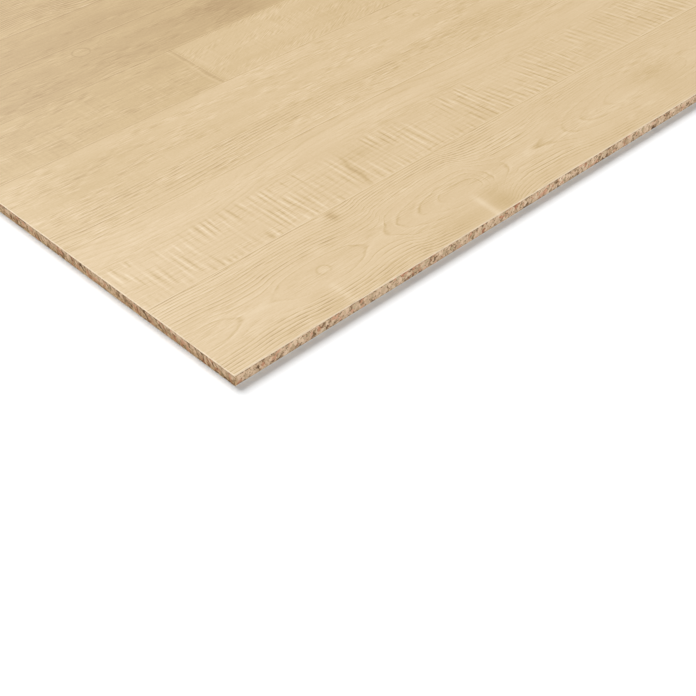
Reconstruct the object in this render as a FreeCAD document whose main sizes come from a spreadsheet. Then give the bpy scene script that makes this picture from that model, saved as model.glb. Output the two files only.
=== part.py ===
import FreeCAD, Part
import os
import Sketcher

# A sheet of decor-faced hardboard, lying flat with its printed face up.
#
# The board is pressed and sawn as one piece, so it is one solid: a right-angled
# sheet with square sawn edges, whose sharp corners (the arrises) are just rubbed
# off along the printed face and, a little less, along the back.
#
# Frame: millimetres, +X along the sheet's length, which is the way the printed
# grain runs, +Y across it, +Z up out of the printed face. The origin is the
# middle of the underside, where the sheet rests.

# Driving sizes: alias, value in millimetres, what it is.
SIZES = (
    ("SheetLength", 1220, "length, along the printed grain"),
    ("SheetWidth", 610, "width, across the printed grain"),
    ("SheetThickness", 6, "thickness over the face and the back"),
    ("FaceArris", 0.3, "width of the rubbed arris round the printed face"),
    ("BackArris", 0.2, "width of the rubbed arris round the back"),
)

SHEET_NAME = "hardboard_sheet"
PARTS_FOLDER = "parts"


def fill_size_sheet(doc):
    """Put every driving size in a spreadsheet, under its own alias."""
    sheet = doc.addObject("Spreadsheet::Sheet", "Sizes")
    for row, (alias, value, meaning) in enumerate(SIZES, start=1):
        sheet.set(f"A{row}", alias)
        sheet.set(f"B{row}", str(value))
        sheet.set(f"C{row}", meaning)
        sheet.setAlias(f"B{row}", alias)
    doc.recompute()
    return sheet


def origin_plane(body, role):
    """Find one of the body's own origin planes, such as XY_Plane."""
    return next(item for item in body.Origin.OriginFeatures if item.Role == role)


def draw_outline(body):
    """Sketch the sheet's outline, a rectangle centred on the origin."""
    sketch = body.newObject("Sketcher::SketchObject", "Outline")
    sketch.AttachmentSupport = (origin_plane(body, "XY_Plane"), [""])
    sketch.MapMode = "FlatFace"
    # First guess at the four corners; the constraints below set the real ones.
    corners = [FreeCAD.Vector(x, y, 0) for x, y in ((-50, -25), (50, -25), (50, 25), (-50, 25))]
    sides = [
        sketch.addGeometry(Part.LineSegment(start, end), False)
        for start, end in zip(corners, corners[1:] + corners[:1])
    ]
    front, right, back, left = sides
    line_start, line_end = 1, 2
    for side, following in zip(sides, sides[1:] + sides[:1]):
        sketch.addConstraint(Sketcher.Constraint("Coincident", side, line_end, following, line_start))
    for side in (front, back):
        sketch.addConstraint(Sketcher.Constraint("Horizontal", side))
    for side in (left, right):
        sketch.addConstraint(Sketcher.Constraint("Vertical", side))
    # The sketch's own origin point is (-1, 1): it sits half way between opposite corners.
    sketch.addConstraint(Sketcher.Constraint("Symmetric", front, line_start, back, line_start, -1, 1))
    length = sketch.addConstraint(Sketcher.Constraint("DistanceX", front, line_start, front, line_end, 100))
    sketch.renameConstraint(length, "Length")
    width = sketch.addConstraint(Sketcher.Constraint("DistanceY", right, line_start, right, line_end, 50))
    sketch.renameConstraint(width, "Width")
    sketch.setExpression("Constraints.Length", "Sizes.SheetLength")
    sketch.setExpression("Constraints.Width", "Sizes.SheetWidth")
    return sketch


def press_board(body, outline):
    """Raise the outline to the sheet's thickness, upwards from the underside."""
    board = body.newObject("PartDesign::Pad", "Board")
    board.Profile = outline
    board.setExpression("Length", "Sizes.SheetThickness")
    body.Document.recompute()
    return board


def rub_arris(body, feature, at_top, size_alias, name):
    """Take the sharp corner off the four edges round the top or the bottom."""
    box = feature.Shape.BoundBox
    height = box.ZMax if at_top else box.ZMin
    tolerance = 1e-6
    edges = [
        f"Edge{number}"
        for number, edge in enumerate(feature.Shape.Edges, start=1)
        if abs(edge.BoundBox.ZMin - height) < tolerance and abs(edge.BoundBox.ZMax - height) < tolerance
    ]
    arris = body.newObject("PartDesign::Chamfer", name)
    arris.Base = (feature, edges)
    arris.setExpression("Size", f"Sizes.{size_alias}")
    body.Document.recompute()
    return arris


def build_sheet(doc):
    """Make the whole sheet as one body, placed in the frame given at the top."""
    body = doc.addObject("PartDesign::Body", SHEET_NAME)
    body.Label = SHEET_NAME
    body.Placement = FreeCAD.Placement()
    board = press_board(body, draw_outline(body))
    faced = rub_arris(body, board, True, "FaceArris", "FaceArris")
    rub_arris(body, faced, False, "BackArris", "BackArris")
    return body


def check_document(doc, bodies):
    """Stop if any feature failed, or a body isn't one sound solid."""
    for item in doc.Objects:
        faults = [state for state in item.State if state in ("Invalid", "Error")]
        if faults:
            raise RuntimeError(f"{item.Name} failed: {faults}")
    for body in bodies:
        shape = body.Shape
        if shape.isNull() or not shape.isValid() or len(shape.Solids) != 1:
            raise RuntimeError(f"{body.Label} is not one valid solid")


def export_bodies(bodies):
    """Write each body to a STEP file under its own name, and print its size."""
    os.makedirs(PARTS_FOLDER, exist_ok=True)
    for body in bodies:
        box = body.Shape.BoundBox
        body.Shape.exportStep(f"{PARTS_FOLDER}/{body.Label}.step")
        print(f"{body.Label}: {box.XLength:.2f} x {box.YLength:.2f} x {box.ZLength:.2f} mm, "
              f"{body.Shape.Volume / 1000:.1f} cm3")


document = FreeCAD.newDocument("HardboardSheet")
fill_size_sheet(document)
sheet_body = build_sheet(document)
document.recompute()
check_document(document, [sheet_body])
export_bodies([sheet_body])
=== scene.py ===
# %% [markdown]
# # A decor-faced hardboard sheet
# This lesson dresses a flat sheet of pressed board: a printed maple plank face, bare sawn edges
# where the pressed wood chips show, and a plain backing paper. The sheet itself comes ready made
# from the CAD frame; here it gets the surfaces that a flat block cannot show.
# First the frame is loaded and the sheet measured, so that every later size hangs on it.

# %% Load the frame and measure the sheet
import math
import random
import time

import bmesh
import bpy
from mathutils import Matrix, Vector, noise


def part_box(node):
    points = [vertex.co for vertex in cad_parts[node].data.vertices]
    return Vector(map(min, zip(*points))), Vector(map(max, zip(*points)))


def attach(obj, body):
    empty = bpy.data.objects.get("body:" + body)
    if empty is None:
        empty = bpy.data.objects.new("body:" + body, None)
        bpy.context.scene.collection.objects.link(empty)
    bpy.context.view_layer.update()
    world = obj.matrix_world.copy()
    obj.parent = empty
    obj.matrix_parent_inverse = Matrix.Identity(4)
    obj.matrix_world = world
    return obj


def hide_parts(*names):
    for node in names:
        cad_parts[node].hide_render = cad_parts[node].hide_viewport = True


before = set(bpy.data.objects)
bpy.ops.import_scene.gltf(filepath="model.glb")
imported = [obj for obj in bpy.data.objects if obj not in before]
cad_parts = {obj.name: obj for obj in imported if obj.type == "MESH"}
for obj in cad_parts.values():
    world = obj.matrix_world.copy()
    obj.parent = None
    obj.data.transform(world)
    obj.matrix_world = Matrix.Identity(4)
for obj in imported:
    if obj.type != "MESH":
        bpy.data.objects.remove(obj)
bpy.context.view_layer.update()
started = time.perf_counter()

MM = 0.001
low, high = (Vector(corner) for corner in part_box("hardboard_sheet"))
length, width, thickness = high - low
print(f"sheet {length / MM:.0f} x {width / MM:.0f} x {thickness / MM:.1f} mm")

# %% [markdown]
# ## Three surfaces on one board
# A real sheet is one pressed board with a thin printed film on its face and a paper on its back.
# One mesh with three materials would do, but three closed shells that lie on each other keep the
# sawn chips crisp, because only the core needs a dense mesh. Each shell is a slab with the sheet's
# outline. An outline of short edges is what lets a saw cut look sawn, so the slab starts as a wire
# rectangle, its sides are cut into short lengths, and the loop is filled and raised.

# %% A slab whose outline is cut into short lengths
FACE_FILM = 0.4 * MM
BACK_PAPER = 0.4 * MM
BEDDING = 0.05 * MM   # how far the core reaches into the films, so that no light leaks between


def slab(bottom, top, spacing):
    """A closed slab of the sheet's outline, from bottom to top, with its sides in short quads."""
    bm = bmesh.new()
    bmesh.ops.create_grid(bm, x_segments=1, y_segments=1, size=0.5)
    bmesh.ops.delete(bm, geom=bm.faces[:], context="FACES_ONLY")
    bmesh.ops.scale(bm, vec=(length, width, 1), verts=bm.verts)
    for axis, side in ((0, length), (1, width)):
        along = [e for e in bm.edges if abs(e.verts[0].co[axis] - e.verts[1].co[axis]) > side / 2]
        bmesh.ops.subdivide_edges(bm, edges=along, cuts=round(side / spacing) - 1)
    bmesh.ops.contextual_create(bm, geom=bm.edges[:])
    raised = bmesh.ops.extrude_face_region(bm, geom=bm.faces[:])["geom"]
    lid = [part for part in raised if isinstance(part, bmesh.types.BMVert)]
    bmesh.ops.translate(bm, vec=(0, 0, top - bottom), verts=lid)
    centre = (low + high) / 2
    bmesh.ops.translate(bm, vec=(centre.x, centre.y, bottom), verts=bm.verts)
    bmesh.ops.recalc_face_normals(bm, faces=bm.faces)
    return bm


def keep_piece(bm, name, material):
    """Turn a finished bmesh into an object that rides on the board and stands for it."""
    mesh = bpy.data.meshes.new(name)
    bm.to_mesh(mesh)
    bm.free()
    piece = bpy.data.objects.new(name, mesh)
    bpy.context.scene.collection.objects.link(piece)
    mesh.materials.append(material)
    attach(piece, "root")
    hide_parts("hardboard_sheet")
    triangles = sum(len(face.vertices) - 2 for face in mesh.polygons)
    print(f"{name}: {triangles} triangles, {time.perf_counter() - started:.1f} s")
    return piece


# %% [markdown]
# ## A short hand for shader nodes
# Procedural materials are sums: many small masks that darken or lighten one tone. Node by node that
# is long to write, so one small class adds a node, sets its values and joins its inputs.

# %% Node helper
class NodeBench:
    """Adds nodes to one tree and joins them; each call gives back an output socket."""

    def __init__(self, tree):
        self.tree = tree

    def put(self, socket, value):
        if isinstance(value, bpy.types.NodeSocket):
            self.tree.links.new(value, socket)
        elif value is not None:
            socket.default_value = value

    def node(self, kind, inputs=None, **settings):
        made = self.tree.nodes.new(kind)
        for name, value in settings.items():
            setattr(made, name, value)
        for name, value in (inputs or {}).items():
            self.put(made.inputs[name], value)
        return made

    def math(self, operation, first, second=None, third=None, clamp=False):
        made = self.node("ShaderNodeMath", operation=operation, use_clamp=clamp)
        for socket, value in zip(made.inputs, (first, second, third)):
            self.put(socket, value)
        return made.outputs[0]

    def add(self, *terms):
        total = terms[0]
        for term in terms[1:]:
            total = self.math("ADD", total, term)
        return total

    def times(self, *terms):
        total = terms[0]
        for term in terms[1:]:
            total = self.math("MULTIPLY", total, term)
        return total

    def step(self, value, start, end, low=0.0, high=1.0):
        """A smooth step: low where value is at start, high where it is at end."""
        inputs = {"Value": value, "From Min": start, "From Max": end, "To Min": low, "To Max": high}
        made = self.node("ShaderNodeMapRange", inputs, interpolation_type="SMOOTHSTEP")
        return made.outputs[0]

    def vector(self, x, y, z=0.0):
        made = self.node("ShaderNodeCombineXYZ")
        for socket, value in zip(made.inputs, (x, y, z)):
            self.put(socket, value)
        return made.outputs[0]

    def split(self, vector):
        return self.node("ShaderNodeSeparateXYZ", {0: vector}).outputs[:]

    def attribute(self, name):
        return self.split(self.node("ShaderNodeAttribute", attribute_name=name).outputs["Vector"])

    def bell(self, value, spread):
        """A bump that is 1 where value is 0 and fades to 0 within about twice the spread."""
        scaled = self.math("DIVIDE", value, spread)
        return self.math("EXPONENT", self.math("MULTIPLY", self.math("MULTIPLY", scaled, scaled), -1.0))

    def mix(self, factor, first, second, blend="MIX"):
        made = self.node("ShaderNodeMix", data_type="RGBA", blend_type=blend)
        for socket, value in ((made.inputs[0], factor), (made.inputs[6], first), (made.inputs[7], second)):
            self.put(socket, value)
        return made.outputs[2]

    def ramp(self, value, stops):
        made = self.node("ShaderNodeValToRGB", {"Fac": value})
        made.color_ramp.elements[0].position, made.color_ramp.elements[0].color = stops[0]
        made.color_ramp.elements[1].position, made.color_ramp.elements[1].color = stops[-1]
        for place, colour in stops[1:-1]:
            made.color_ramp.elements.new(place).color = colour
        return made.outputs["Color"]


def rgb(red, green, blue):
    """A colour socket's value, from linear red, green and blue."""
    return (red, green, blue, 1.0)


def new_material(name):
    """An empty node material with a Principled BSDF; gives the material, its bench and the shader."""
    material = bpy.data.materials.new(name)
    material.use_nodes = True
    return material, NodeBench(material.node_tree), material.node_tree.nodes["Principled BSDF"]


# %% [markdown]
# ## Fibre: one effect for all three surfaces
# Print, pressed core and backing paper all show wood fibre: a noise that is long one way and fine
# the other. An effect that several materials share belongs in a node group with named inputs, so it
# is tuned in one place and each material gives its own fibre length and width in millimetres.

# %% The shared fibre group
def fibre_group():
    """Stretched noise, from 0 to 1 with its middle at one half."""
    group = bpy.data.node_groups.new("wood_fibre", "ShaderNodeTree")
    for name, kind, start in (
        ("Place", "NodeSocketVector", None),
        ("Length", "NodeSocketFloat", 12.0),
        ("Width", "NodeSocketFloat", 0.6),
        ("Detail", "NodeSocketFloat", 2.0),
    ):
        socket = group.interface.new_socket(name, in_out="INPUT", socket_type=kind)
        if start is not None:
            socket.default_value = start
    group.interface.new_socket("Fibre", in_out="OUTPUT", socket_type="NodeSocketFloat")
    bench = NodeBench(group)
    given = bench.node("NodeGroupInput").outputs
    x, y, z = bench.split(given["Place"])
    stretched = bench.vector(
        bench.math("DIVIDE", x, given["Length"]),
        bench.math("DIVIDE", y, given["Width"]),
        z,
    )
    waves = bench.node("ShaderNodeTexNoise", {"Vector": stretched, "Scale": 1.0, "Detail": given["Detail"]})
    bench.node("NodeGroupOutput", {"Fibre": waves.outputs["Fac"]})
    return group


FIBRE = fibre_group()


def fibre(bench, place, fibre_length, fibre_width, detail=2.0):
    """Place the shared fibre group in a tree with its own sizes."""
    made = bench.node("ShaderNodeGroup", node_tree=FIBRE)
    given = {"Place": place, "Length": fibre_length, "Width": fibre_width, "Detail": detail}
    for name, value in given.items():
        bench.put(made.inputs[name], value)
    return made.outputs["Fibre"]


# %% [markdown]
# ## The plank plan
# The print shows planks of uneven width laid side by side, with butt joints here and there. Every
# plank has its own tone, its own heart line, where the growth rings open into long flames, and now
# and then a knot. A shader alone cannot tell the planks apart, so the face is cut along the joints
# and each plank carries its values as face attributes, like notes pencilled on real boards.
# The planks near the corner are listed one by one and the rest are dealt out by a seeded random.

# %% Widths, joints and looks of the planks
ROW_WIDTHS = (56.6, 56.4, 64.8, 45.6, 40.6, 32.0, 52.0, 60.5, 44.0, 57.5, 38.0, 62.0)
ROW_JOINTS = {0: (448, 905), 1: (610, 1105), 2: (372, 840), 3: (146, 560, 1010), 4: (395, 870)}
SHORTEST_PLANK, LONGEST_PLANK = 300, 560
KNOWN_LOOKS = {
    (0, 0): dict(tone=0.005, heart=25.5, shift=40, ring=3.2, strength=1.0, dash=0.7,
                 knot=(73, 25.5, 3.0), flash=(161, 19, 1.0), mark=(103, 52, 3.4), blotch=(312, 27, 17)),
    (1, 0): dict(tone=-0.015, heart=72.0, rise=20, shift=300, ring=5.5, strength=0.25, ripple=1.0, dash=0.6,
                 mark=(136.5, 14, 12.0), blotch=(148, 24, 9)),
    (2, 0): dict(tone=-0.06, heart=-6.0, shift=420, ring=3.6, strength=0.75, reach=30, ripple=0.1, dash=1.0,
                 knot=(270, 46, 1.6), blotch=(50, 50, 60)),
    (3, 0): dict(tone=-0.225, heart=-30.0, rise=25, ring=4.5, strength=0.12, ripple=0.15, dash=0.9),
    (3, 1): dict(tone=-0.11, heart=90.0, rise=25, ring=6.0, strength=0.08, ripple=0.2, dash=0.8, slant=0.6),
    (4, 0): dict(tone=-0.29, heart=29.0, shift=30, ring=5.0, strength=0.22, dash=0.7,
                 knot=(110, 31, 4.4), blotch=(200, 16, 20)),
    (5, 0): dict(tone=-0.29, heart=60.0, rise=18, ring=6.0, strength=0.12, dash=0.5),
    (6, 0): dict(tone=-0.25, heart=-10.0, shift=90, ring=3.6, strength=1.2, dash=1.0),
}
NOTHING = (-9999, -9999, 0.0)    # a knot, flash or mark that a plank doesn't have
KNOT_CHANCE, FLASH_CHANCE, MARK_CHANCE, BLOTCH_CHANCE = 0.35, 0.25, 0.3, 0.4
DEALER_SEED = 11


def deal_look(dealer, plank_length, plank_width):
    """A look for a plank that isn't listed one by one."""
    look = dict(
        tone=dealer.uniform(-0.3, 0.0),
        heart=dealer.uniform(-0.2, 1.2) * plank_width,
        rise=dealer.choice((0, 0, 3, 12)),
        shift=dealer.uniform(0, 340),
        ring=dealer.uniform(3.2, 5.0),
        strength=dealer.uniform(0.3, 1.0),
        ripple=dealer.choice((0.0, 0.0, 0.2, 0.9)),
        dash=dealer.uniform(0.6, 1.2),
        reach=dealer.choice((28, 60, 200)),
    )
    if dealer.random() < KNOT_CHANCE:
        along = dealer.uniform(0.15, 0.85) * plank_length
        look["knot"] = (along, look["heart"], dealer.uniform(1.5, 4.0))
    if dealer.random() < FLASH_CHANCE:
        along = dealer.uniform(0.2, 0.8) * plank_length
        look["flash"] = (along, dealer.uniform(12, 25), dealer.uniform(0.4, 1.0))
    if dealer.random() < MARK_CHANCE:
        along = dealer.uniform(0.1, 0.9) * plank_length
        across = dealer.uniform(0, plank_width)
        look["mark"] = (along, across, dealer.uniform(2, 8))
    if dealer.random() < BLOTCH_CHANCE:
        along = dealer.uniform(0, plank_length)
        across = dealer.uniform(0, plank_width)
        look["blotch"] = (along, across, dealer.uniform(9, 30))
    return look


def lay_planks():
    """Every plank as its corner, its size in millimetres, its seed and its look."""
    dealer = random.Random(DEALER_SEED)
    planks, near_side = [], 0.0
    for row, row_width in enumerate(ROW_WIDTHS):
        joints = list(ROW_JOINTS.get(row, ()))
        if not joints:
            joints = [dealer.uniform(250, LONGEST_PLANK)]
            while joints[-1] + LONGEST_PLANK + SHORTEST_PLANK < length / MM:
                joints.append(joints[-1] + dealer.uniform(SHORTEST_PLANK, LONGEST_PLANK))
        ends = [0, *joints, length / MM]
        for number, (start, end) in enumerate(zip(ends, ends[1:])):
            look = KNOWN_LOOKS.get((row, number)) or deal_look(dealer, end - start, row_width)
            seed = dealer.random()
            planks.append((start, near_side, end - start, row_width, seed, look))
        near_side += row_width
    return planks


PLANKS = lay_planks()
print(f"{len(PLANKS)} planks in {len(ROW_WIDTHS)} rows, {sum(ROW_WIDTHS):.1f} mm wide in all")

# %% [markdown]
# ## Writing the plan onto the face
# Each attribute holds three numbers, because a vector attribute is one node in the shader. Places
# are turned into the sheet's own coordinates here, so the shader needs no offsets.

# %% Plank values as face attributes
def plank_notes(plank):
    """The attribute values of one plank, in millimetres of the sheet's own coordinates."""
    start, near_side, plank_length, plank_width, seed, look = plank
    corner = Vector((low.x / MM + start, low.y / MM + near_side))

    def placed(spot):
        return (corner.x + spot[0], corner.y + spot[1], spot[2])

    return {
        "plank_place": (corner.x, corner.y, seed),
        "plank_span": (plank_length, plank_width, look["tone"]),
        "plank_heart": (corner.y + look["heart"], look.get("rise", 0), look.get("shift", 0) - corner.x),
        "plank_figure": (look["ring"], look["strength"], look.get("reach", 200)),
        "plank_fibre": (look["dash"], look.get("ripple", 0), look.get("slant", 0)),
        "plank_knot": placed(look.get("knot", NOTHING)),
        "plank_flash": placed(look.get("flash", NOTHING)),
        "plank_mark": placed(look.get("mark", NOTHING)),
        "plank_blotch": placed(look.get("blotch", NOTHING)),
    }


def plank_at(point):
    """The plank that a point of the face belongs to; points on the rim belong to the nearest."""
    along = min(max((point.x - low.x) / MM, 0.01), length / MM - 0.01)
    across = min(max((point.y - low.y) / MM, 0.01), width / MM - 0.01)
    return next(
        number
        for number, (start, near_side, plank_length, plank_width, _, _) in enumerate(PLANKS)
        if start <= along <= start + plank_length and near_side <= across <= near_side + plank_width
    )


# %% [markdown]
# ## The printed face film
# The film is a slab less than half a millimetre thick. Its top is inset by the width of the rubbed
# arris and the rim is let down, which leaves the fine sloped line that catches the light round a
# sawn sheet. The rim is nibbled a little, as a saw leaves it. Then the face is cut along the joints
# with bisect_plane, which keeps everything in one flat closed shell.

# %% Build the printed face
FACE_ARRIS = 0.18 * MM
RIM_SPACING = 1.0 * MM


def nibble(point, depth, fineness):
    """How far a saw has broken the rim back at a point: mostly little, here and there a bite."""
    place = point * (1 / fineness)
    waviness = 0.5 + 0.5 * noise.noise(place)
    bite = max(0.0, noise.noise(place * 0.37 + Vector((5.0, 9.0, 2.0))) - 0.32) * 3.0
    return depth * (0.5 * waviness + bite)


def move_in(vert, distance):
    """Move a rim vertex towards the inside of the sheet, square to the side it lies on."""
    to_side = (vert.co.x - low.x, high.x - vert.co.x, vert.co.y - low.y, high.y - vert.co.y)
    inward = ((1, 0), (-1, 0), (0, 1), (0, -1))
    nearest = min(to_side)
    for gap, (x, y) in zip(to_side, inward):
        if gap < nearest + 0.2 * MM:
            vert.co += Vector((x, y, 0)) * distance


def build_printed_face(material):
    film_low = high.z - FACE_FILM
    bm = slab(film_low, high.z, RIM_SPACING)
    top = max(bm.faces, key=lambda face: face.calc_center_median().z)
    bmesh.ops.inset_region(bm, faces=[top], thickness=FACE_ARRIS, use_even_offset=True)
    inner = set(top.verts)
    for vert in bm.verts:
        if vert.co.z > film_low + FACE_FILM / 2 and vert not in inner:
            vert.co.z -= FACE_ARRIS
    for vert in bm.verts:
        reach = 0.14 * MM if vert in inner else 0.1 * MM
        move_in(vert, nibble(vert.co, reach, 1.7 * MM))
    near_side = low.y
    for row_width in ROW_WIDTHS[:-1]:
        near_side += row_width * MM
        cut_top(bm, Vector((0, near_side, 0)), Vector((0, 1, 0)), lambda face: True)
    for start, near, _, plank_width, _, _ in PLANKS:
        if start > 0:
            row_low, row_high = low.y + near * MM, low.y + (near + plank_width) * MM

            def in_row(face):
                return row_low < face.calc_center_median().y < row_high

            cut_top(bm, Vector((low.x + start * MM, 0, 0)), Vector((1, 0, 0)), in_row)
    write_plank_notes(bm)
    return keep_piece(map_face(bm), "printed_face", material)


def cut_top(bm, point, direction, wanted):
    """Cut the flat faces on top that wanted() picks, along a plane."""
    faces = [face for face in bm.faces if face.normal.z > 0.99 and wanted(face)]
    geometry = set(faces)
    for face in faces:
        geometry.update(face.edges)
        geometry.update(face.verts)
    bmesh.ops.bisect_plane(bm, geom=list(geometry), dist=0.02 * MM, plane_co=point, plane_no=direction)


def write_plank_notes(bm):
    notes = [plank_notes(plank) for plank in PLANKS]
    layers = {name: bm.faces.layers.float_vector.new(name) for name in notes[0]}
    for face in bm.faces:
        for name, value in notes[plank_at(face.calc_center_bounds())].items():
            face[layers[name]] = Vector(value)


# %% [markdown]
# ## Unwrapping
# When a model is exported, its looks are baked into one square picture a piece. Left to itself
# the unwrap gives hidden faces as much room as the face that everyone sees. A map that is laid out
# here gives the seen face nearly the whole square, with the rim as a narrow frame round it and the
# hidden underside as a thin strip. The map is named OFBake, and the exporter looks for that name.

# %% Bake maps for the two films
FRAME_ROOM = 0.006    # how much of the square the rim takes on each side
STRIP_ROOM = 0.03     # how much of the square the hidden side takes


def map_face(bm, seen=1):
    """Lay the seen side out over the square; seen is 1 for the top and -1 for the underside."""
    layer = bm.loops.layers.uv.new("OFBake")
    seen_z = max(seen * vert.co.z for vert in bm.verts)
    for face in bm.faces:
        hidden = face.normal.z * seen < -0.5
        for loop in face.loops:
            across = ((loop.vert.co.x - low.x) / length, (loop.vert.co.y - low.y) / width)
            if hidden:
                loop[layer].uv = (0.01 + 0.98 * across[0], 1 - STRIP_ROOM * (0.1 + 0.8 * across[1]))
                continue
            below = (seen_z - seen * loop.vert.co.z) / FACE_FILM
            spread = 1 - 2 * FRAME_ROOM * (1 - 0.6 * min(below, 1.0)) - 0.002
            room = (1 - STRIP_ROOM)
            loop[layer].uv = (0.5 + (across[0] - 0.5) * spread, room * (0.5 + (across[1] - 0.5) * spread))
    return bm


# %% [markdown]
# ## Maple, from a formula
# Plain-sawn wood shows growth rings as contour lines. Take the distance from the tree's heart,
# a line that runs along the plank at some depth under its face: where the heart dips and rises,
# the contours close into eyes or open into flames. So the figure is one height, cut into rings
# by its fraction, and a stretched noise breaks the lines into dashes as real pores do.

# %% Growth rings from the distance to the heart
# How deep the heart lies under the face, along a log: (place, depth), both in millimetres.
HEART_CHART = (
    (0, 9), (20, 12.5), (35, 14.4), (55, 15.4), (75, 16.9), (95, 15), (113, 14.2),
    (130, 15.4), (146, 16.9), (160, 13.4), (174, 10.2), (188, 7), (200, 4.6), (213, 7),
    (216, 10.2), (220, 13.4), (232, 16.6), (236, 17), (257, 16.6), (276, 13.4), (291, 10.2),
    (310, 7), (345, 3), (380, 8), (420, 15), (470, 17.5), (540, 13), (600, 9),
)
CHART_LENGTH, CHART_DEPTH = 600.0, 20.0
FIRST_RING = 7.0      # distance of the innermost ring from the heart
OUTER_RINGS = 16.6    # beyond this distance the rings crowd
CROWDING = 1.15       # how much faster the outer rings are counted
RING_DARK, OUTER_DARK = -0.17, -0.15      # tone of a dark line, and what an outer ring adds to it
RING_LIGHT, OUTER_LIGHT = 0.07, 0.04      # the same for the light line beside it


def heart_distance(bench, x, y, grain):
    """How far each point is from the heart of the log that its plank was sawn from."""
    heart_y, rise, shift = bench.attribute("plank_heart")
    along = bench.math("WRAP", bench.add(x, shift), CHART_LENGTH, 0.0)
    chart = bench.node("ShaderNodeFloatCurve", {"Value": bench.math("DIVIDE", along, CHART_LENGTH)})
    curve = chart.mapping.curves[0]
    for place, depth in HEART_CHART:
        spot = (place / CHART_LENGTH, depth / CHART_DEPTH)
        if place in (0, CHART_LENGTH):
            curve.points[0 if place == 0 else -1].location = spot
        else:
            curve.points.new(*spot)
    for point in curve.points:
        point.handle_type = "AUTO_CLAMPED"
    chart.mapping.update()
    sway = bench.math("SUBTRACT", fibre(bench, grain, 110.0, 500.0, 1.0), 0.5)
    depth = bench.add(bench.times(chart.outputs[0], CHART_DEPTH), rise)
    off_heart = bench.add(y, bench.times(-1.0, heart_y), bench.times(sway, 3.0))
    return bench.math("SQRT", bench.add(bench.times(off_heart, off_heart), bench.times(depth, depth)))


def ring_figure(bench, x, distance, grain):
    """Growth rings as thin dark lines with a light line beside each; crowded far from the heart."""
    ring, strength, reach = bench.attribute("plank_figure")
    start_x, _, _ = bench.attribute("plank_place")
    strength = bench.times(strength, bench.step(bench.math("SUBTRACT", x, start_x), 190.0, 300.0, 1.0, 0.5))
    wobble = bench.times(bench.math("SUBTRACT", fibre(bench, grain, 20.0, 5.0, 4.0), 0.5), 0.55)
    past = bench.math("MAXIMUM", bench.math("SUBTRACT", distance, OUTER_RINGS), 0.0)
    crowd = bench.times(past, CROWDING)
    counted = bench.math("DIVIDE", bench.add(distance, -FIRST_RING, crowd), ring)
    part = bench.math("FRACT", bench.add(counted, wobble, 0.5))
    outer = bench.step(distance, OUTER_RINGS, OUTER_RINGS + 6.0)
    dark = bench.bell(bench.math("SUBTRACT", part, 0.5), bench.add(0.07, bench.times(outer, 0.06)))
    light = bench.bell(bench.math("SUBTRACT", part, bench.add(0.68, bench.times(outer, 0.12))), 0.13)
    dark_lines = bench.times(dark, bench.add(RING_DARK, bench.times(outer, OUTER_DARK)))
    light_lines = bench.times(light, bench.add(RING_LIGHT, bench.times(outer, OUTER_LIGHT)))
    dashes = bench.step(fibre(bench, grain, 9.0, 0.9, 2.0), 0.35, 0.62, 0.45, 1.35)
    lines = bench.times(bench.add(dark_lines, light_lines), dashes)
    lines = bench.times(lines, bench.step(distance, 4.0, 6.0))
    patchy = bench.step(fibre(bench, grain, 60.0, 8.0, 2.0), 0.34, 0.58, 0.2, 1.0)
    faded = bench.step(distance, reach, bench.times(reach, 1.25), 1.0, 0.0)
    return bench.times(lines, patchy, faded, strength)


# %% [markdown]
# ## Marks that make a plank one of a kind
# Each mark is a mask times a small number: below zero it darkens the tone, above zero it lightens.
# The masks are mostly bells round a distance, so a mark has no hard outline. A plank without a mark
# has its place far outside the sheet, and the same nodes then add nothing.

# %% Knots, flashes, checks, curl and joints
def knot_tone(bench, x, y):
    """A small round knot: a dark ring with a paler middle."""
    knot_x, knot_y, size = bench.attribute("plank_knot")
    along = bench.times(bench.math("SUBTRACT", x, knot_x), 0.85)
    across = bench.math("SUBTRACT", y, knot_y)
    radius = bench.math("SQRT", bench.add(bench.times(along, along), bench.times(across, across)))
    rim = bench.bell(bench.math("SUBTRACT", radius, size), 0.5)
    lower = bench.step(bench.math("DIVIDE", across, bench.math("MAXIMUM", size, 0.5)), -0.7, 0.5, 0.5, 1.0)
    middle = bench.bell(radius, bench.times(size, 0.6))
    # Under a knot the fibres dive, which prints as a pale streak with a darker side.
    off = bench.add(along, 4.0)
    under = bench.times(bench.step(across, -6.0, -11.0), bench.bell(bench.add(size, -3.0), 0.8))
    pale_side = bench.times(bench.bell(off, 1.8), 0.1)
    dark_side = bench.times(bench.bell(bench.add(off, 8.0), 6.0), -0.07)
    dive = bench.add(pale_side, dark_side)
    there = bench.step(size, 0.1, 1.0)
    ring = bench.add(bench.times(rim, lower, -0.16), bench.times(middle, 0.06))
    return bench.times(there, bench.add(ring, bench.times(under, dive)))


def flash_tone(bench, x, y):
    """Where the grain dives: a pale streak across the plank with a dark patch on either side."""
    flash_x, flash_y, amount = bench.attribute("plank_flash")
    below = bench.step(bench.math("SUBTRACT", flash_y, y), -3.0, 7.0)
    lean = bench.times(bench.math("SUBTRACT", y, flash_y), -0.08)
    off = bench.add(bench.math("SUBTRACT", x, flash_x), lean)
    pale = bench.times(bench.bell(off, 1.9), 0.19)
    dark_right = bench.times(bench.bell(bench.add(off, -9.0), 7.5), -0.15)
    dark_left = bench.times(bench.bell(bench.add(off, 20.0), 18.0), -0.07)
    tone = bench.times(bench.add(pale, dark_right, dark_left), below, amount)
    there = bench.step(amount, 0.0, 0.3)
    smooth = bench.math("SUBTRACT", 1.0, bench.times(bench.bell(off, 22.0), below, there, 0.85))
    return tone, smooth


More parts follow.
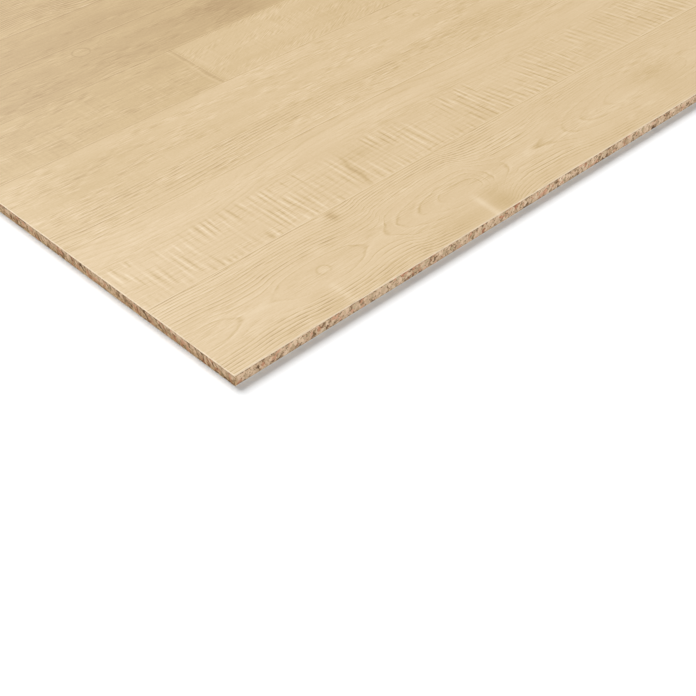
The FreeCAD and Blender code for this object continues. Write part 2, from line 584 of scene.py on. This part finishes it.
def mark_tone(bench, x, y):
    """A short dark check across the grain, and a soft darker blotch."""
    mark_x, mark_y, half = bench.attribute("plank_mark")
    blotch_x, blotch_y, size = bench.attribute("plank_blotch")
    off_y = bench.math("SUBTRACT", y, mark_y)
    bent = bench.times(bench.math("SINE", bench.times(off_y, 0.35)), 0.6)
    off_x = bench.add(bench.math("SUBTRACT", x, mark_x), bench.times(off_y, -0.15), bent)
    half = bench.math("MAXIMUM", half, 0.5)
    breadth = bench.add(bench.math("DIVIDE", 5.0, half), 1.0)
    check = bench.times(bench.bell(off_x, breadth), bench.bell(off_y, half), -0.27)
    wide_x = bench.math("SUBTRACT", x, blotch_x)
    wide_y = bench.times(bench.math("SUBTRACT", y, blotch_y), 1.3)
    radius = bench.math("SQRT", bench.add(bench.times(wide_x, wide_x), bench.times(wide_y, wide_y)))
    there = bench.step(size, 1.0, 4.0)
    blotch = bench.times(bench.bell(radius, bench.math("MAXIMUM", size, 0.5)), there, -0.1)
    return bench.add(bench.times(check, bench.step(half, 0.6, 2.0)), blotch)


CURL_SPACING = 3.9      # millimetres from one streak of curl to the next
CURL_SHARPNESS = 2.5


def ripple_tone(bench, x, y, grain):
    """Curly grain: thin light and dark streaks square to the plank, in blocks, low on the plank."""
    _, ripple, _ = bench.attribute("plank_fibre")
    start_x, start_y, _ = bench.attribute("plank_place")
    in_y = bench.math("SUBTRACT", y, start_y)
    lean = bench.step(bench.math("SUBTRACT", x, start_x), 190.0, 260.0, 0.0, 0.16)
    drift = bench.times(fibre(bench, grain, 24.0, 160.0, 2.0), 24.0)
    phase = bench.add(bench.times(bench.add(x, bench.times(in_y, lean)), math.tau / CURL_SPACING), drift)
    wave = bench.math("SINE", phase)
    crest = bench.math("POWER", bench.math("MAXIMUM", wave, 0.0), CURL_SHARPNESS)
    below_zero = bench.math("MAXIMUM", bench.times(wave, -1.0), 0.0)
    trough = bench.math("POWER", below_zero, CURL_SHARPNESS)
    thin = bench.add(crest, bench.times(-1.1, trough))
    short = bench.step(fibre(bench, grain, 3.2, 15.0, 1.0), 0.38, 0.62)
    block = bench.step(fibre(bench, grain, 26.0, 30.0, 1.0), 0.36, 0.62, 0.15, 1.0)
    low_side = bench.times(bench.step(in_y, 36.0, 30.0), bench.step(in_y, 0.0, 2.0))
    return bench.times(thin, short, block, low_side, ripple, 0.23)


def joint_tone(bench, x, y, grain):
    """The printed joints: a hair of dark and light along the plank, a soft crooked band at its end."""
    start_x, start_y, _ = bench.attribute("plank_place")
    plank_length, plank_width, _ = bench.attribute("plank_span")
    in_x = bench.math("SUBTRACT", x, start_x)
    in_y = bench.math("SUBTRACT", y, start_y)
    crooked = bench.times(bench.math("SUBTRACT", fibre(bench, grain, 14.0, 14.0, 1.0), 0.5), 4.0)
    to_end = bench.math("SUBTRACT", plank_length, in_x)
    inside = bench.times(bench.step(start_x, low.x / MM + 1, low.x / MM + 2), bench.step(in_x, 0.0, 1.0))
    start_band = bench.times(bench.bell(bench.add(in_x, crooked, -0.6), 1.4), -0.11, inside)
    end_band = bench.times(bench.bell(bench.add(to_end, crooked, -0.6), 1.4), -0.07)
    top_line = bench.step(bench.math("SUBTRACT", plank_width, in_y), 0.2, 0.9, -0.2, 0.0)
    low_line = bench.step(in_y, 0.3, 1.0, 0.1, 0.0)
    pale_line = bench.times(bench.bell(bench.add(to_end, crooked, -3.0), 0.9), 0.08)
    return bench.add(top_line, low_line, start_band, end_band, pale_line)


# %% [markdown]
# ## One sum, one ramp
# Now every mask is added to the plank's own tone, and a single colour ramp turns the sum into maple.
# All colours come from that one ramp, so darker marks stay in the family of the wood. A faint bump
# follows the streaks, because a printed film is pressed with a light grain.

# %% The maple material
MAPLE_TONES = (
    (0.0, rgb(0.37, 0.23, 0.10)),
    (0.3, rgb(0.55, 0.393, 0.197)),
    (0.5, rgb(0.645, 0.482, 0.286)),
    (0.7, rgb(0.725, 0.57, 0.375)),
    (1.0, rgb(0.82, 0.72, 0.55)),
)
STREAK_STRENGTH, FLECK_STRENGTH = 0.56, 0.14
# Worn paper colour, lightened further as a painted highlight along the arris.
WORN_PAPER_AND_HIGHLIGHT = rgb(0.90, 0.73, 0.53)


def printed_maple():
    material, bench, shader = new_material("printed_maple")
    place = bench.node("ShaderNodeTexCoord").outputs["Object"]
    in_mm = bench.node("ShaderNodeVectorMath", {0: place, "Scale": 1 / MM}, operation="SCALE").outputs[0]
    x, y, _ = bench.split(in_mm)
    _, _, seed = bench.attribute("plank_place")
    _, _, tone = bench.attribute("plank_span")
    dash, _, slant = bench.attribute("plank_fibre")
    # The seed moves each plank far away in the noise, so that no two planks look alike.
    grain_x = bench.add(x, bench.times(seed, 9000.0))
    grain_y = bench.add(y, bench.times(seed, 7000.0))
    grain = bench.vector(grain_x, grain_y, 0.0)

    distance = heart_distance(bench, x, y, grain)
    flash, smooth = flash_tone(bench, x, y)
    rings = bench.times(ring_figure(bench, x, distance, grain), smooth)
    curl = ripple_tone(bench, x, y, grain)
    bands = bench.times(bench.math("SUBTRACT", fibre(bench, grain, 420.0, 9.0, 3.0), 0.5), 0.18)
    clouds = bench.times(bench.math("SUBTRACT", fibre(bench, grain, 42.0, 15.0, 2.0), 0.5), 0.16)
    patch = bench.step(fibre(bench, grain, 38.0, 9.0, 1.0), 0.42, 0.6, 0.3, 1.5)
    slanted_x = bench.add(grain_x, bench.times(y, slant))
    slanted_y = bench.add(y, bench.times(x, slant, -0.8))
    slanted = bench.vector(slanted_x, slanted_y, 0.0)
    fine = bench.math("SUBTRACT", fibre(bench, slanted, 9.0, 0.62, 1.0), 0.5)
    streaks = bench.times(fine, patch, dash, STREAK_STRENGTH, smooth)
    flecks = bench.times(bench.math("SUBTRACT", fibre(bench, grain, 1.3, 0.8, 1.0), 0.5), FLECK_STRENGTH)

    total = bench.add(
        0.5, tone, rings, curl, bands, clouds, streaks, flecks, flash,
        knot_tone(bench, x, y), mark_tone(bench, x, y), joint_tone(bench, x, y, grain),
    )
    print_colour = bench.ramp(total, MAPLE_TONES)

    # The arris band is painted pale: partly the worn paper under the print, partly a painted highlight
    # along the edge.
    from_side_x = bench.math("SUBTRACT", length / 2 / MM, bench.math("ABSOLUTE", x))
    from_side_y = bench.math("SUBTRACT", width / 2 / MM, bench.math("ABSOLUTE", y))
    from_side = bench.math("MINIMUM", from_side_x, from_side_y)
    worn = fibre(bench, in_mm, 3.0, 3.0, 2.0)
    rubbed_and_highlit = bench.step(bench.add(from_side, bench.times(worn, 0.5)), 0.4, 0.8, 0.85, 0.0)
    colour = bench.mix(rubbed_and_highlit, print_colour, WORN_PAPER_AND_HIGHLIGHT)

    bench.put(shader.inputs["Base Color"], colour)
    bench.put(shader.inputs["Roughness"], bench.step(streaks, -0.08, 0.08, 0.5, 0.42))
    relief = bench.add(bench.times(streaks, 0.6), rings, bench.times(curl, 0.5))
    bump = bench.node("ShaderNodeBump", {"Strength": 0.35, "Distance": 0.00008, "Height": relief})
    bench.put(shader.inputs["Normal"], bump.outputs["Normal"])
    shader.inputs["Specular IOR Level"].default_value = 0.35
    return material


printed_face = build_printed_face(printed_maple())

# %% [markdown]
# ## The pressed core
# A saw cut through pressed board shows small chips lying every way, some torn out, some dark.
# The relief is real geometry: the side of the slab is a net of half-millimetre quads, and every
# vertex asks a cell noise which chip it is on. A chip sets how deep the vertex lies, and the same
# answer is stored as an attribute, so that colour and relief always agree.

# %% Chips on the sawn edges
CORE_SPACING = 0.5 * MM
CHIP_LENGTH, CHIP_HEIGHT = 1.4, 2.2     # millimetres
CHIP_RELIEF = 0.22 * MM
TORN_DEPTH = 0.4 * MM
CHIP_SEED = 7
noise.seed_set(CHIP_SEED)    # without a seed, noise_vector is different at every start of Blender


def chip_at(point):
    """The chip that a point of the sawn side lies on: its lightness, its hue and how near its rim is."""
    place = point / MM
    bend = noise.noise_vector(place * 0.45) * 0.9
    slanted = Vector((place.x - 0.4 * place.z, place.y - 0.4 * place.z, place.z))
    stretched = Vector((
        (slanted.x + bend.x) / CHIP_LENGTH,
        (slanted.y + bend.y) / CHIP_LENGTH,
        (slanted.z + 0.5 * bend.z) / CHIP_HEIGHT,
    ))
    distances, centres = noise.voronoi(stretched)
    lightness = 0.5 + 0.5 * noise.noise(centres[0] * 5.3 + Vector((3.1, 7.7, 1.3)))
    hue = 0.5 + 0.5 * noise.noise(centres[0] * 4.1 + Vector((13.0, 2.0, 8.0)))
    rim = min(1.0, (distances[1] - distances[0]) * 4.0)
    return lightness, hue, rim


def build_pressed_core(material):
    core_low, core_high = low.z + BACK_PAPER - BEDDING, high.z - FACE_FILM + BEDDING
    bm = slab(core_low, core_high, CORE_SPACING)
    upright = [e for e in bm.edges if abs(e.verts[0].co.z - e.verts[1].co.z) > thickness / 2]
    rows = round((core_high - core_low) / CORE_SPACING)
    bmesh.ops.subdivide_edges(bm, edges=upright, cuts=rows - 1)
    layer = bm.verts.layers.float_vector.new("chip")
    map_core(bm, core_low, core_high)
    for vert in bm.verts:
        lightness, hue, rim = chip_at(vert.co)
        vert[layer] = Vector((lightness, hue, rim))
        torn = max(0.0, 0.3 - lightness) * 3.0
        depth = CHIP_RELIEF * (0.55 * (1 - lightness) + 0.45 * (1 - rim)) + TORN_DEPTH * min(torn, 1.0)
        move_in(vert, depth)
    for face in bm.faces:
        face.smooth = len(face.verts) == 4
    return keep_piece(bm, "pressed_core", material)


CORE_STRIP = 305 * MM     # a length of sawn side that gets one strip of the bake map


def map_core(bm, core_low, core_high):
    """Cut the sawn sides into strips and stack them in the square, with the hidden sides on top."""
    layer = bm.loops.layers.uv.new("OFBake")
    strips = round(2 * (length + width) / CORE_STRIP)
    strip_room = (1 - STRIP_ROOM) / strips
    for face in bm.faces:
        middle = face.calc_center_bounds()
        if len(face.verts) > 4:
            shelf = 1 - STRIP_ROOM * (0.05 if face.normal.z > 0 else 0.55)
            for loop in face.loops:
                across = ((loop.vert.co.x - low.x) / length, (loop.vert.co.y - low.y) / width)
                loop[layer].uv = (0.01 + 0.98 * across[0], shelf - STRIP_ROOM * 0.4 * across[1])
            continue
        begin = run_along(middle, middle)
        strip = int(begin // CORE_STRIP)
        for loop in face.loops:
            along = (run_along(loop.vert.co, middle) - strip * CORE_STRIP) / CORE_STRIP
            up = (loop.vert.co.z - core_low) / (core_high - core_low)
            loop[layer].uv = (0.004 + 0.992 * along, strip_room * (strip + 0.04 + 0.92 * up))


def run_along(point, middle):
    """How far round the sheet a point lies, on the side that the face's middle lies on."""
    gaps = (middle.y - low.y, high.x - middle.x, high.y - middle.y, middle.x - low.x)
    side = gaps.index(min(gaps))
    runs = (
        point.x - low.x,
        length + point.y - low.y,
        length + width + high.x - point.x,
        2 * length + width + high.y - point.y,
    )
    return runs[side]


# %% [markdown]
# ## Colouring the chips
# The stored chip values drive the colour: lightness picks the tone and hue makes a few chips reddish
# and a few olive. The darkest tones, on the torn-out chips that lie deepest and along each chip's rim,
# are partly the chips' own colour and partly painted shade in the pits and gaps. A fine fibre noise
# keeps each chip from looking like flat paint.

# %% The core material
# The dark end of the ramp is partly dark chips and partly painted shade in torn-out pits.
CHIP_TONES = (
    (0.0, rgb(0.10, 0.055, 0.03)),
    (0.26, rgb(0.26, 0.158, 0.085)),
    (0.40, rgb(0.54, 0.375, 0.232)),
    (0.60, rgb(0.73, 0.535, 0.36)),
    (1.0, rgb(0.90, 0.71, 0.52)),
)


def pressed_chips():
    material, bench, shader = new_material("pressed_chips")
    place = bench.node("ShaderNodeTexCoord").outputs["Object"]
    in_mm = bench.node("ShaderNodeVectorMath", {0: place, "Scale": 1 / MM}, operation="SCALE").outputs[0]
    x, y, z = bench.split(in_mm)
    lightness, hue, rim = bench.attribute("chip")
    along = bench.add(x, y)
    tilted = bench.vector(bench.add(along, bench.times(z, -0.55)), z, 0.0)
    fine = bench.math("SUBTRACT", fibre(bench, tilted, 0.4, 1.1, 2.0), 0.5)
    # The tone drops at each chip's rim: partly dark gaps between chips, partly painted shade in them.
    lit = bench.add(lightness, bench.times(fine, 0.35), bench.step(rim, 0.0, 0.6, -0.24, 0.02))
    # Pressing packs fine dust against both faces: a darker, smoother line under each film.
    under_film = bench.step(z, (high.z - FACE_FILM) / MM - 0.9, (high.z - FACE_FILM) / MM - 0.25)
    over_paper = bench.step(z, (low.z + BACK_PAPER) / MM + 0.9, (low.z + BACK_PAPER) / MM + 0.2)
    lit = bench.add(lit, bench.times(under_film, -0.1), bench.times(over_paper, -0.03))
    colour = bench.ramp(lit, CHIP_TONES)
    reddish = bench.step(hue, 0.62, 0.69)
    colour = bench.mix(bench.times(reddish, 0.5), colour, rgb(0.60, 0.225, 0.125))
    olive = bench.step(hue, 0.34, 0.24)
    colour = bench.mix(bench.times(olive, 0.4), colour, rgb(0.47, 0.41, 0.24))
    # The short ends are painted browner and darker, most so low down: painted shade on the ends, deepest
    # near the floor.
    short_end_shade = bench.step(bench.math("SUBTRACT", length / 2 / MM, bench.math("ABSOLUTE", x)), 2.0, 1.0)
    shade_low_down = bench.step(z, 4.6, 1.2, 0.35, 1.0)
    colour = bench.mix(bench.times(short_end_shade, shade_low_down), colour, rgb(0.84, 0.77, 0.65), "MULTIPLY")
    bench.put(shader.inputs["Base Color"], colour)
    bench.put(shader.inputs["Roughness"], bench.step(lightness, 0.2, 0.8, 0.95, 0.8))
    bump = bench.node("ShaderNodeBump", {"Strength": 0.5, "Distance": 0.0001, "Height": fine})
    bench.put(shader.inputs["Normal"], bump.outputs["Normal"])
    shader.inputs["Specular IOR Level"].default_value = 0.15
    return material


pressed_core = build_pressed_core(pressed_chips())

# %% [markdown]
# ## The backing paper
# The back of such a sheet is a plain paper that keeps the board from warping. Only a pale line of
# it shows at the foot of the edges. It is the face film turned over: a slab with a rubbed arris.

# %% Build the backing
BACK_ARRIS = 0.2 * MM
BACKING_TONES = (
    (0.0, rgb(0.74, 0.70, 0.63)),
    (0.5, rgb(0.86, 0.82, 0.75)),
    (1.0, rgb(0.92, 0.89, 0.83)),
)


def backing_paper():
    material, bench, shader = new_material("backing_paper")
    place = bench.node("ShaderNodeTexCoord").outputs["Object"]
    in_mm = bench.node("ShaderNodeVectorMath", {0: place, "Scale": 1 / MM}, operation="SCALE").outputs[0]
    mottle = bench.math("SUBTRACT", fibre(bench, in_mm, 6.0, 2.0, 3.0), 0.5)
    clouds = bench.math("SUBTRACT", fibre(bench, in_mm, 90.0, 60.0, 2.0), 0.5)
    tone = bench.add(0.5, bench.times(mottle, 0.7), bench.times(clouds, 0.6))
    colour = bench.ramp(tone, BACKING_TONES)
    bench.put(shader.inputs["Base Color"], colour)
    bench.put(shader.inputs["Roughness"], bench.step(tone, 0.2, 0.8, 0.85, 0.7))
    bump = bench.node("ShaderNodeBump", {"Strength": 0.3, "Distance": 0.0001, "Height": mottle})
    bench.put(shader.inputs["Normal"], bump.outputs["Normal"])
    return material


def build_backing(material):
    paper_high = low.z + BACK_PAPER
    bm = slab(low.z, paper_high, RIM_SPACING)
    bottom = min(bm.faces, key=lambda face: face.calc_center_median().z)
    bmesh.ops.inset_region(bm, faces=[bottom], thickness=BACK_ARRIS, use_even_offset=True)
    inner = set(bottom.verts)
    for vert in bm.verts:
        if vert.co.z < low.z + BACK_PAPER / 2 and vert not in inner:
            vert.co.z += BACK_ARRIS
    for vert in bm.verts:
        move_in(vert, nibble(vert.co + Vector((0.3, 0.2, 0.1)), 0.1 * MM, 2.3 * MM))
    return keep_piece(map_face(bm, seen=-1), "backing_paper", material)


backing = build_backing(backing_paper())

# %% [markdown]
# ## A floor to lie on
# Stock is shown softly lit on white. The floor is a plain pale sheet, large enough that its end is
# far away, and it sends light back up into both sawn edges.

# %% Floor
FLOOR_SIZE = 40.0
FLOOR_TONES = ((0.0, rgb(0.94, 0.94, 0.94)), (1.0, rgb(0.95, 0.95, 0.95)))


def build_floor():
    bm = bmesh.new()
    bmesh.ops.create_grid(bm, x_segments=8, y_segments=8, size=FLOOR_SIZE / 2)
    bmesh.ops.translate(bm, vec=(0, 0, low.z - 0.05 * MM), verts=bm.verts)
    mesh = bpy.data.meshes.new("studio_floor")
    bm.to_mesh(mesh)
    bm.free()
    floor = bpy.data.objects.new("studio_floor", mesh)
    bpy.context.scene.collection.objects.link(floor)
    material, bench, shader = new_material("studio_white")
    place = bench.node("ShaderNodeTexCoord").outputs["Object"]
    cloud = fibre(bench, place, 2.0, 2.0, 1.0)
    bench.put(shader.inputs["Base Color"], bench.ramp(cloud, FLOOR_TONES))
    shader.inputs["Roughness"].default_value = 0.9
    shader.inputs["Specular IOR Level"].default_value = 0.0
    mesh.materials.append(material)
    return floor


floor = build_floor()


# %% [markdown]
# ## Three soft lights and a pale sky
# The main softbox stands beyond the far long side, about 50 degrees up, so that the sheet's shadow
# is a narrow soft line along the near long edge. Two weak low fills, one facing the near long edge
# and one facing the near short edge, keep the chips readable. Watts are chosen for these distances.

# %% Lights
near_corner = Vector((low.x, low.y, high.z))


def softbox(name, direction, distance, size, power, tint=(1, 1, 1)):
    """A square soft light that faces the sheet's near corner from a direction."""
    light = bpy.data.lights.new(name, "AREA")
    light.shape, light.size = "SQUARE", size
    light.energy, light.color = power, tint
    lamp = bpy.data.objects.new(name, light)
    bpy.context.scene.collection.objects.link(lamp)
    towards = Vector(direction).normalized()
    lamp.location = near_corner + Vector((0.15, 0.12, 0)) + towards * distance
    lamp.rotation_mode = "QUATERNION"
    lamp.rotation_quaternion = towards.to_track_quat("Z", "Y")
    return lamp


softbox("overhead_softbox", (0.12, 0.82, 1.0), 6.0, 3.2, 382)
softbox("low_fill_near", (0.0, -1.0, 0.17), 4.0, 1.3, 46)
softbox("low_fill_left", (-1.0, 0.0, 0.17), 4.0, 1.3, 17)

SKY_STRENGTH = 0.365
world = bpy.data.worlds.new("studio_air")
bpy.context.scene.world = world
world.use_nodes = True
world.node_tree.nodes["Background"].inputs["Color"].default_value = rgb(0.96, 0.99, 1.0)
world.node_tree.nodes["Background"].inputs["Strength"].default_value = SKY_STRENGTH

# %% [markdown]
# ## Camera
# The sheet is seen from beyond its near corner, 41 degrees up, with both sawn edges in view and
# the far ends of the sheet outside the frame. The camera is set by what it looks at and from where,
# so that the numbers can be read: a heading, a pitch and a distance.

# %% Camera
HEADING, PITCH = math.radians(45.95), math.radians(40.82)
AIM = near_corner + Vector((44.4, -19.2, 0)) * MM
REACH = 579 * MM
LENS, SENSOR = 73.57, 36.0

camera_data = bpy.data.cameras.new("stock_camera")
camera_data.lens, camera_data.sensor_width = LENS, SENSOR
camera_data.clip_start, camera_data.clip_end = 0.01, 50
camera = bpy.data.objects.new("stock_camera", camera_data)
bpy.context.scene.collection.objects.link(camera)
gaze = Vector((math.cos(PITCH) * math.cos(HEADING), math.cos(PITCH) * math.sin(HEADING), -math.sin(PITCH)))
camera.location = AIM - gaze * REACH
camera.rotation_mode = "QUATERNION"
camera.rotation_quaternion = gaze.to_track_quat("-Z", "Y")
bpy.context.scene.camera = camera
bpy.context.scene.view_settings.view_transform = "Standard"
print(f"camera {(camera.location - near_corner).length / MM:.0f} mm from the near corner")
